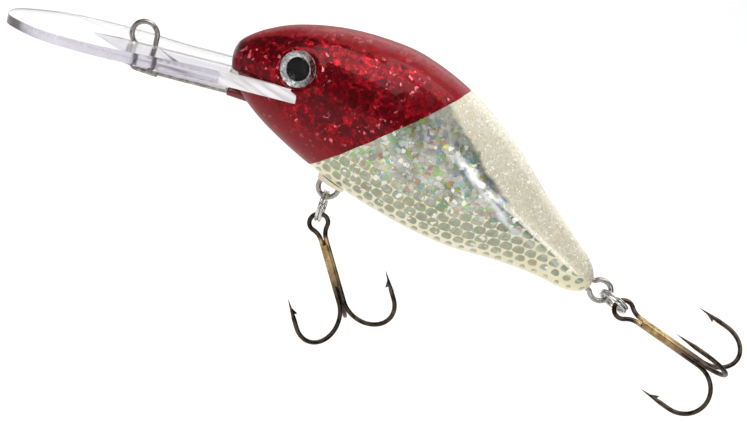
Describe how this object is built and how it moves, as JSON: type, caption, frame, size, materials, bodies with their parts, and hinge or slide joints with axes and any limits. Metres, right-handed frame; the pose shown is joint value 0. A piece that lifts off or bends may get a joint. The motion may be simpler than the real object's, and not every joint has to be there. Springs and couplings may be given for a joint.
{
  "type": "crankbait lure",
  "caption": "Deep-diving crankbait with a painted balsa body, a clear spoon-shaped diving lip, domed eyes and treble hooks that hang on split rings under the belly and behind the tail.",
  "frame": {"origin": "middle of the line tie's wire loop, on the plane of symmetry", "axes": "+X along the body from nose to tail, +Y to the lure's left-hand side seen from its tail, +Z from belly to back"},
  "size_m": [0.1528, 0.0293, 0.0598],
  "materials": {
    "painted_balsa": "cream and red lacquer under clear coat",
    "holographic_foil": "crackled holographic foil under clear coat",
    "clear_polycarbonate": "clear, polished",
    "steel_wire": "drawn wire",
    "lead": "cast",
    "red_epoxy": "gloss",
    "cream_epoxy": "gloss",
    "eye_foil": "holographic",
    "black_pupil": "gloss",
    "clear_dome": "clear",
    "nickel_ring": "bright nickel plate",
    "bronze_hook": "dark bronze finish",
    "braze": "brazed"
  },
  "bodies": {
    "lure_body": {"body_left_half": "painted_balsa", "body_right_half": "painted_balsa", "foil_left": "holographic_foil", "foil_right": "holographic_foil", "diving_lip": "clear_polycarbonate", "wire_harness": "steel_wire", "belly_hanger": "steel_wire", "ballast_slug": "lead", "chin_bead": "red_epoxy", "belly_bead": "cream_epoxy", "eye_foil_left": "eye_foil", "eye_foil_right": "eye_foil", "eye_pupil_left": "black_pupil", "eye_pupil_right": "black_pupil", "eye_dome_left": "clear_dome", "eye_dome_right": "clear_dome"},
    "belly_ring": {"belly_split_ring": "nickel_ring"},
    "belly_treble": {"belly_hook_pair": "bronze_hook", "belly_hook_third": "bronze_hook", "belly_hook_braze": "braze"},
    "tail_ring": {"tail_split_ring": "nickel_ring"},
    "tail_treble": {"tail_hook_pair": "bronze_hook", "tail_hook_third": "bronze_hook", "tail_hook_braze": "braze"}
  },
  "joints": [
    {"name": "belly_ring_swing", "type": "hinge", "parent": "lure_body", "child": "belly_ring", "pos_m": [0.04477, 0, -0.00671], "axis": [0, 1, 0], "range_deg": [-20, 60]},
    {"name": "belly_treble_sway", "type": "hinge", "parent": "belly_ring", "child": "belly_treble", "pos_m": [0.04564, 0, -0.0105], "axis": [0.9744, 0, 0.225], "range_deg": [-35, 35]},
    {"name": "tail_ring_swing", "type": "hinge", "parent": "lure_body", "child": "tail_ring", "pos_m": [0.09887, 0, 0.00379], "axis": [0, 1, 0], "range_deg": [-35, 84]},
    {"name": "tail_treble_sway", "type": "hinge", "parent": "tail_ring", "child": "tail_treble", "pos_m": [0.10217, 0, 0.00333], "axis": [0.1261, 0.4226, 0.8975], "range_deg": [-35, 35]}
  ]
}
